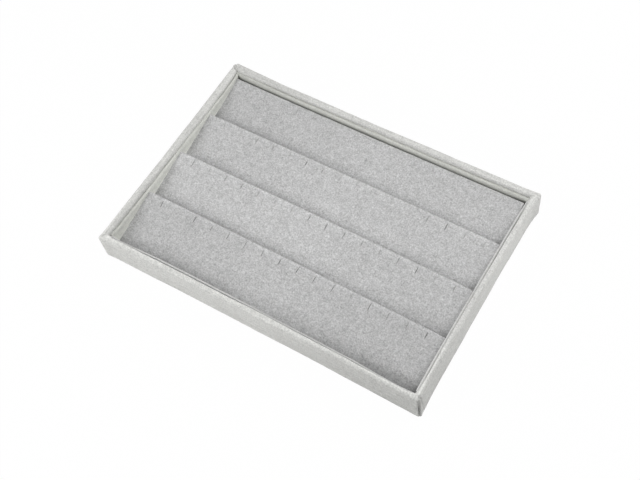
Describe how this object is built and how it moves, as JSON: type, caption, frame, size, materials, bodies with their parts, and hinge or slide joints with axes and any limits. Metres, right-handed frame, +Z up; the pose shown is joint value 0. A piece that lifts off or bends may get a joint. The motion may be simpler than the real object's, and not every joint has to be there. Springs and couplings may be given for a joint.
{
  "type": "jewelry display tray",
  "caption": "Shallow velvet-covered tray with sloped, slit display ramps that hold necklaces and pendants side by side.",
  "frame": {"origin": "centre of the underside, on the table", "axes": "+X along the long side to the right, +Y to the back where the ramps' crests face, +Z up"},
  "size_m": [0.35, 0.241, 0.034],
  "materials": {
    "wall_velvet": "short-pile warm grey velvet over board",
    "ramp_velvet": "speckled neutral grey velvet over card",
    "lining_velvet": "short-pile warm grey velvet over card",
    "board": "plain brown board",
    "felt": "thin pressed grey felt"
  },
  "bodies": {
    "root": {"underside_felt": "felt", "base_board": "board", "floor_lining": "lining_velvet", "front_wall": "wall_velvet", "back_wall": "wall_velvet", "left_wall": "wall_velvet", "right_wall": "wall_velvet", "front_liner": "lining_velvet", "back_liner": "lining_velvet", "left_liner": "lining_velvet", "right_liner": "lining_velvet", "rear_ramp": "ramp_velvet", "second_ramp": "ramp_velvet", "third_ramp": "ramp_velvet", "front_ramp": "ramp_velvet"}
  },
  "joints": []
}
